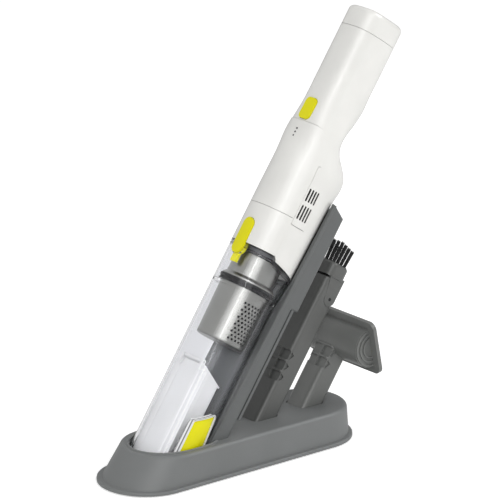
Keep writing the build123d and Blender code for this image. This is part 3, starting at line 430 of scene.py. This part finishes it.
inner_line = tab_outline(TAB_FRONT, FRAME_INNER)
outer_line = tab_outline(TAB_FRONT - FRAME_SIDE, FRAME_OUTER)
bpy.ops.mesh.primitive_cylinder_add(vertices=len(inner_line), end_fill_type="NOTHING")
tab_frame = bpy.context.object
band = tab_frame.data.attributes.new("reach", "FLOAT", "POINT")
for i, pair in enumerate(zip(inner_line, outer_line)):
    for k, point in enumerate(pair):
        depth = math.sqrt(CUP_ROUND**2 - point.x**2)
        tab_frame.data.vertices[2 * i + k].co = leaning @ Vector((point.x, -depth, point.y))
        band.data[2 * i + k].value = k
wrap = tab_frame.modifiers.new("on_cup", "SHRINKWRAP")
wrap.target = nodes["dust_cup"]
wrap.wrap_method = "NEAREST_SURFACEPOINT"
wrap.wrap_mode = "ON_SURFACE"
bpy.ops.object.modifier_apply(modifier="on_cup")
face_outwards()
if sum(face.normal.y for face in tab_frame.data.polygons) > 0:
    tab_frame.data.flip_normals()
solid = tab_frame.modifiers.new("height", "SOLIDIFY")
solid.thickness = FRAME_HEIGHT * MM
solid.offset = FRAME_LIFT
bpy.ops.object.modifier_apply(modifier="height")
soften = tab_frame.modifiers.new("edges", "BEVEL")
soften.width = FRAME_EDGE * MM
soften.segments = 2
bpy.ops.object.modifier_apply(modifier="edges")
bpy.ops.object.shade_smooth_by_angle(angle=SMOOTH_ANGLE)
frame_clear, frame_shader, frame_place = new_finish(
    "frame_clear_plastic", Transmission_Weight=0.12, IOR=1.45
)
# Painted light: the pale colour is a painted highlight on the clear rib, the dark one painted
# shade.
frame_painted_glint = (0.86, 0.865, 0.87, 1)
frame_painted_shade = (0.2, 0.2, 0.21, 1)
frame_light_stops = [
    (0.32, frame_painted_glint),
    (0.38, frame_painted_shade),
    (0.54, frame_painted_shade),
    (0.6, frame_painted_glint),
    (0.84, frame_painted_glint),
    (0.92, frame_painted_shade),
]
frame_painted_light = frame_place.node(
    "ShaderNodeValToRGB",
    settings={"stops": frame_light_stops},
    Fac=frame_place.node("ShaderNodeAttribute", "Fac", {"attribute_name": "reach"}),
)
join(frame_painted_light, frame_shader, "Base Color")
FRAME_GLOSS = 0.08
FRAME_HAZE = 0.1
frame_haze = frame_place.node("ShaderNodeTexNoise", Vector=frame_place, Scale=700.0)
join(FRAME_GLOSS + FRAME_HAZE * frame_haze, frame_shader, "Roughness")
for side, piece in (("left", tab_frame), ("right", far_side_copy(tab_frame))):
    piece.name = f"tab_frame_{side}"
    piece.data.materials.append(frame_clear)
    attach(piece, "dust_cup")

# Inlet duct and its flap inside the cup: milky translucent plastic, the flap on a steel pin. Two
# thin wings level with the duct's front wall hold it between the cup's sides.
duct_milky = moulded_plastic(
    "duct_milky_plastic",
    colour=(0.94, 0.94, 0.935),
    roughness=0.4,
    grain=700.0,
    depth=0.1,
    Transmission_Weight=0.35,
)
paint(duct_milky, "inlet_duct", "inlet_flap")
paint(screw_steel, "flap_pin")
WING_X = -14.9
WING_THICK = 1.0
WING_INNER = 12.4
WING_OUTER = 20.8
WING_FOOT = 12.0
WING_TOP = 98.0
WING_EDGE = 0.3
duct_wing = rounded_block((WING_THICK, WING_OUTER - WING_INNER, WING_TOP - WING_FOOT), WING_EDGE, 2)
bpy.ops.object.shade_smooth_by_angle(angle=SMOOTH_ANGLE)
wing_middle = (WING_X, -(WING_INNER + WING_OUTER) / 2, (WING_FOOT + WING_TOP) / 2)
duct_wing.data.transform(leaning @ Matrix.Translation(wing_middle))
for side, piece in (("left", duct_wing), ("right", far_side_copy(duct_wing))):
    piece.name = f"duct_wing_{side}"
    piece.data.materials.append(duct_milky)
    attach(piece, "dust_cup")

# Lime tabs and buttons: satin plastic in one bright colour. Each tab is a lime face moulded on a
# pale carrier that grips the window from inside the cup.
CARRIER_ROUND = 0.0266
CARRIER_BLUR = 0.0002
CARRIER_PALE = (0.82, 0.82, 0.81, 1)
lime = moulded_plastic(
    "lime_plastic",
    colour=(0.79, 0.74, 0.002),
    roughness=0.4,
    grain=SPARK_GRAIN,
    depth=0.12,
    Specular_IOR_Level=0.3,
)
paint(lime, "power_button", "release_button")


def two_tone(finish, name):
    """A copy of a finish for a second colour; gives it, its shader, its colour and a wire."""
    material = finish.copy()
    material.name = name
    tree = material.node_tree
    shader = tree.nodes["Principled BSDF"]
    tone = Wire(tree, shader.inputs["Base Color"].links[0].from_socket)
    return material, shader, tone, Wire(tree, tree.nodes["Texture Coordinate"].outputs["Object"])


def laid_over(tone, mask, colour):
    """A second colour where a mask is one."""
    return tone.node(
        "ShaderNodeMix", 2, settings={"data_type": "RGBA"}, i0=mask, i6=tone, i7=colour
    )


def from_axis(turned, across):
    """Distance from the vacuum's own axis."""
    side = turned.node("ShaderNodeSeparateXYZ", "Y", Vector=turned)
    return turned.math("SQRT", across * across + side * side)


tab_lime, tab_shader, tab_tone, tab_place = two_tone(lime, "tab_lime_plastic")
tab_turned, tab_across, _ = lean_frame(tab_place)
carrier_edge = (CARRIER_ROUND - CARRIER_BLUR, CARRIER_ROUND + CARRIER_BLUR)
in_carrier = ramp_of(from_axis(tab_turned, tab_across), *carrier_edge, 1.0, 0.0)
join(laid_over(tab_tone, in_carrier, CARRIER_PALE), tab_shader, "Base Color")
paint(tab_lime, "nose_tab_left", "nose_tab_right")

# Filter: a spun metal cup with a perforated patch and a metal collar, round an element painted
# near black as painted shade, so the holes look shadowed.
# Fine turning lines run round the metal. A black rubber gasket seals it in the dust cup.
TURNING_SCALE = (8.0, 8.0, 1800.0)
STEEL_STOPS = [(0.3, (0.272, 0.272, 0.254, 1)), (0.7, (0.295, 0.295, 0.276, 1))]
STEEL_ROUGHNESS = 0.27
TURNING_GLOSS = 0.04
filter_steel, steel_shader, steel_place = new_finish("filter_steel", Metallic=1.0)
steel_turned, _, _ = lean_frame(steel_place)
turning = steel_place.node("ShaderNodeMapping", Vector=steel_turned, Scale=TURNING_SCALE)
lines = steel_place.node("ShaderNodeTexNoise", Vector=turning, Scale=1.0, Detail=2.0)
steel_tone = steel_place.node("ShaderNodeValToRGB", settings={"stops": STEEL_STOPS}, Fac=lines)
join(steel_tone, steel_shader, "Base Color")
join(STEEL_ROUGHNESS + TURNING_GLOSS * lines, steel_shader, "Roughness")
paint(filter_steel, "filter_cup", "filter_collar")
# Painted shade on the filter element behind the holes; the exhaust foam's own dark colour.
dark_foam_and_shade = moulded_plastic(
    "dark_foam_and_shade", colour=(0.035, 0.035, 0.036), roughness=0.85, grain=800.0, depth=0.3
)
paint(dark_foam_and_shade, "filter_element")
paint(rubber_black, "filter_gasket")

# White body: satin moulded shells with a fine even grain and small dark lenses over the lights.
# The grilles are moulded apart and pressed in, with a dark foam behind them, and the walls of
# their slots carry painted shade below the skin, where shadow falls in the slots.
SLOT_FIRST = -0.0064
SLOT_PITCH = 0.003
SLOT_REACH = 0.00092
SLOT_SPAN = (-0.0019, 0.0056)
SLOT_LIP = 0.02744
SLOT_FLARE = 0.06
LOWER_SLOTS = (0.2525, 0.0066)
UPPER_SLOTS = (0.26825, 0.00585)
SLOT_PAINTED_SHADE = (0.06, 0.06, 0.058, 1)
body_white = moulded_plastic(
    "body_white_plastic",
    colour=(0.8, 0.795, 0.765),
    roughness=0.3,
    grain=1600.0,
    depth=0.05,
    Coat_Weight=0.5,
    Coat_Roughness=0.12,
)
paint(body_white, "main_shell", "front_cover", "latch_cover", "end_cap")


def near(value, middle, reach):
    """One where a value lies within a reach of the middle."""
    return value.node(
        "ShaderNodeMath", settings={"operation": "COMPARE"}, i0=value, i1=middle, i2=reach
    )


grille_white, grille_shader, grille_tone, grille_place = two_tone(
    body_white, "grille_white_plastic"
)
grille_turned, grille_across, grille_along = lean_frame(grille_place)
off_slot = grille_place.math("PINGPONG", grille_across - SLOT_FIRST, SLOT_PITCH / 2)
in_row = near(grille_along, *LOWER_SLOTS) + near(grille_along, *UPPER_SLOTS)
slot_lip = SLOT_LIP + SLOT_FLARE * grille_across
deep = grille_place.math("LESS_THAN", from_axis(grille_turned, grille_across), slot_lip)
# Painted shade: the slot walls below the skin are darkened where shadow falls in the slots.
slot_shade_mask = near(off_slot, 0.0, SLOT_REACH) * near(grille_across, *SLOT_SPAN) * in_row * deep
join(laid_over(grille_tone, slot_shade_mask, SLOT_PAINTED_SHADE), grille_shader, "Base Color")
paint(grille_white, "vent_grille_left", "vent_grille_right")
paint(dark_foam_and_shade, "exhaust_foam")
lens_dark = moulded_plastic(
    "lens_dark", colour=(0.12, 0.12, 0.12), roughness=0.3, grain=900.0, depth=0.1
)
paint(lens_dark, "led_lenses")

# Inside the body: a steel motor in a rubber mount turns a black fan behind the bulkhead. Wrapped
# cells stand in a black holder above the green board, and gold-plated discs let into the rear of
# the shell meet the charge pins.
paint(screw_steel, "motor", "fan_shaft")
paint(rubber_black, "motor_mount")
paint(inlet_black, "motor_bulkhead", "suction_fan", "battery_holder")
paint(contact_gold, "charge_plates")
cell_wrap = moulded_plastic(
    "cell_wrap", colour=(0.04, 0.16, 0.4), roughness=0.3, grain=500.0, depth=0.1
)
paint(cell_wrap, "battery_cells")
board_green = moulded_plastic(
    "board_green", colour=(0.02, 0.15, 0.06), roughness=0.4, grain=600.0, depth=0.2
)
paint(board_green, "circuit_board")

# Tools: an upholstery tool and a crevice tool with a brush head, in grey moulded plastic with a
# spark-eroded grain. The crevice tool and brush head are a darker copy of the same grey, which is
# painted shade. The brush head turns on a blackened steel pin.
TOOL_ROUGHNESS = 0.36
tool_grey = moulded_plastic(
    "tool_grey_plastic",
    colour=(0.165, 0.17, 0.164),
    roughness=TOOL_ROUGHNESS,
    grain=SPARK_GRAIN,
    depth=SPARK_DEPTH,
)
paint(tool_grey, "upholstery_tool")
# Painted shade: a darker copy of the tool grey for the crevice tool and brush head, as if in
# shadow.
crevice_shaded_grey = moulded_plastic(
    "crevice_shaded_grey_plastic",
    colour=(0.11, 0.113, 0.109),
    roughness=TOOL_ROUGHNESS,
    grain=SPARK_GRAIN,
    depth=SPARK_DEPTH,
)
paint(crevice_shaded_grey, "crevice_tool", "brush_head")
pin_black = moulded_plastic(
    "pin_black",
    colour=(0.05, 0.05, 0.05),
    roughness=0.35,
    grain=400.0,
    depth=0.1,
    Metallic=1.0,
)
paint(pin_black, "brush_pin")

# Brush bristles: stiff black nylon in twelve tufts set round a backing strip in the brush head.
# Each tuft fans out a little, and the tips are cut on a slope that falls to the rear.
BRUSH_X = 78.25
BRUSH_TOP = 234.0
BRISTLE_LENGTH = 17.5
TIP_SLOPE = 0.2
TUFTS_IN_ROW = 4
TUFT_X = 6.7
TUFT_Y = 7.37
TUFT_ROUND = 1.35
TUFT_FAN = 0.2
ROW_FAN = 0.09
STRANDS = 44
STRAND_ROUND = 0.15
STRAND_TAPER = 0.6
STRAND_SIDES = 6
STRAND_TURN = 2.39996
CUT_SPREAD = 0.05
CUT_STEP = 12.9
BACKING_MARGIN = 3.6
BACKING_THICK = 0.6
BACKING_EDGE = 0.25
bpy.ops.mesh.primitive_cone_add(
    vertices=STRAND_SIDES,
    radius1=STRAND_ROUND,
    radius2=STRAND_TAPER * STRAND_ROUND,
    depth=1.0,
    end_fill_type="NGON",
)
strand = bpy.context.object
bpy.ops.object.mode_set(mode="EDIT")
bpy.ops.mesh.select_all(action="SELECT")
bpy.ops.transform.translate(value=(0, 0, 0.5))
bpy.ops.object.mode_set(mode="OBJECT")


def joined(pieces):
    bpy.ops.object.select_all(action="DESELECT")
    for piece in pieces:
        piece.select_set(True)
    bpy.context.view_layer.objects.active = pieces[0]
    bpy.ops.object.join()
    return pieces[0]


strands = []
for k in range(STRANDS):
    reach = TUFT_ROUND * math.sqrt((k + 0.5) / STRANDS)
    turn = k * STRAND_TURN
    root = Vector((reach * math.cos(turn), reach * math.sin(turn), 0))
    height = 1.0 - CUT_SPREAD * (0.5 + 0.5 * math.sin(k * CUT_STEP))
    one = own_copy(strand)
    for vertex in one.data.vertices:
        rise = vertex.co.z
        flat = Vector((vertex.co.x, vertex.co.y, 0))
        vertex.co = root * (1 + TUFT_FAN * rise) + flat + rise * height * UP
    strands.append(one)
bpy.data.objects.remove(strand)
tuft = joined(strands)

shares = [2 * i / (TUFTS_IN_ROW - 1) - 1 for i in range(TUFTS_IN_ROW)]
tuft_places = []
for share in shares:
    tuft_places += [(TUFT_X * share, -TUFT_Y), (TUFT_X * share, TUFT_Y)]
for share in shares[1:-1]:
    tuft_places += [(-TUFT_X, TUFT_Y * share), (TUFT_X, TUFT_Y * share)]
tufts = []
for u, v in tuft_places:
    one = own_copy(tuft)
    for vertex in one.data.vertices:
        x, y, rise = vertex.co
        length = BRISTLE_LENGTH - TIP_SLOPE * (u + x)
        spread = 1 + ROW_FAN * rise
        place = Vector((BRUSH_X + u * spread + x, v * spread + y, BRUSH_TOP + rise * length))
        vertex.co = leaning @ place
    tufts.append(one)
bpy.data.objects.remove(tuft)
backing = rounded_block(
    (2 * TUFT_X + BACKING_MARGIN, 2 * TUFT_Y + BACKING_MARGIN, BACKING_THICK), BACKING_EDGE, 3
)
backing_middle = (BRUSH_X, 0, BRUSH_TOP + BACKING_THICK / 2)
backing.data.transform(leaning @ Matrix.Translation(backing_middle))
bristles = joined([backing] + tufts)
bristles.name = "nylon_bristles"
BRISTLE_STOPS = [(0.35, (0.006, 0.006, 0.006, 1)), (0.7, (0.02, 0.02, 0.021, 1))]
bristle_black, bristle_shader, bristle_place = new_finish("bristle_black", Roughness=0.42)
bristle_mix = bristle_place.node("ShaderNodeTexNoise", Vector=bristle_place, Scale=1400.0)
bristle_tone = bristle_place.node(
    "ShaderNodeValToRGB", settings={"stops": BRISTLE_STOPS}, Fac=bristle_mix
)
join(bristle_tone, bristle_shader, "Base Color")
bristles.data.materials.append(bristle_black)
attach(bristles, "brush")
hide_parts("brush_bristles")

# Studio: a pale floor that catches a soft shadow, and a white surround that is a little brighter
# on the left. Two large soft lamps light the vacuum, and a narrow one draws a streak down it.
FLOOR_SIZE = 6.0
FLOOR_SEEN = 0.45
FLOOR_THROUGH = 0.12
bpy.ops.mesh.primitive_plane_add(size=FLOOR_SIZE, location=(0, 0, 0))
floor = bpy.context.object
floor.name = "floor"
floor_pale, floor_shader, floor_place = new_finish(
    "floor_pale", Base_Color=(0.9, 0.9, 0.9, 1), Roughness=0.8, Emission_Strength=1.0
)


def seen(place):
    """One for rays straight from the camera, and one for those that come through plastic."""
    straight = place.node("ShaderNodeLightPath", "Is Camera Ray")
    through = place.node("ShaderNodeLightPath", "Is Transmission Ray")
    return straight, through


straight, through = seen(floor_place)
join(FLOOR_SEEN * straight + FLOOR_THROUGH * through, floor_shader, "Emission Color")
floor.data.materials.append(floor_pale)

SURROUND_LEVEL = 0.44
SURROUND_LEFT = 0.2
LEFT_AND_UP = (-0.62, 0.5, 0.6)
world = bpy.data.worlds.new("studio")
bpy.context.scene.world = world
world.use_nodes = True
surround = world.node_tree.nodes["Background"]
surround.inputs["Color"].default_value = (1, 1, 1, 1)
ray = world.node_tree.nodes.new("ShaderNodeTexCoord")
ray_place = Wire(world.node_tree, ray.outputs["Generated"])
leftness = ray_place.node(
    "ShaderNodeVectorMath",
    "Value",
    settings={"operation": "DOT_PRODUCT"},
    i0=ray_place,
    i1=LEFT_AND_UP,
)
glow = SURROUND_LEVEL + SURROUND_LEFT * leftness
white = ray_place.math("MAXIMUM", *seen(ray_place))
join(white + (1.0 - white) * glow, surround, "Strength")


def soft_lamp(name, place, aim, size, watts):
    bpy.ops.object.light_add(type="AREA", location=place)
    lamp = bpy.context.object
    lamp.name = name
    lamp.data.shape = "RECTANGLE"
    lamp.data.size, lamp.data.size_y = size
    lamp.data.energy = watts
    lamp.rotation_euler = (Vector(aim) - Vector(place)).to_track_quat("-Z", "Y").to_euler()


MIDDLE = (0, 0, 0.17)
soft_lamp("key_lamp", place=(-1.2, -1.6, 1.5), aim=MIDDLE, size=(2.0, 2.0), watts=21)
soft_lamp("fill_lamp", place=(1.5, -1.1, 1.6), aim=MIDDLE, size=(1.0, 1.0), watts=20)
soft_lamp("strip_lamp", place=(-1.35, -1.72, 1.1), aim=(0, 0, 0.2), size=(0.24, 1.3), watts=4)

# Camera: far off with a long lens, so that lines stay nearly parallel. It stands to the front
# left of the vacuum and a little above it, and aims at the middle of the whole.
CAMERA_AZIMUTH = math.radians(39.21)
CAMERA_HEIGHT = math.radians(17.86)
CAMERA_AIM = Vector((-0.0025, 0, 0.1779))
CAMERA_DISTANCE = 3.5
CAMERA_LENS = 302.4
CAMERA_REACH = 20.0
back = Vector(
    (
        -math.sin(CAMERA_AZIMUTH) * math.cos(CAMERA_HEIGHT),
        -math.cos(CAMERA_AZIMUTH) * math.cos(CAMERA_HEIGHT),
        math.sin(CAMERA_HEIGHT),
    )
)
bpy.ops.object.camera_add(location=CAMERA_AIM + CAMERA_DISTANCE * back)
camera = bpy.context.object
camera.rotation_euler = back.to_track_quat("Z", "Y").to_euler()
camera.data.lens = CAMERA_LENS
camera.data.clip_end = CAMERA_REACH
bpy.context.scene.camera = camera
bpy.context.scene.view_settings.view_transform = "Standard"
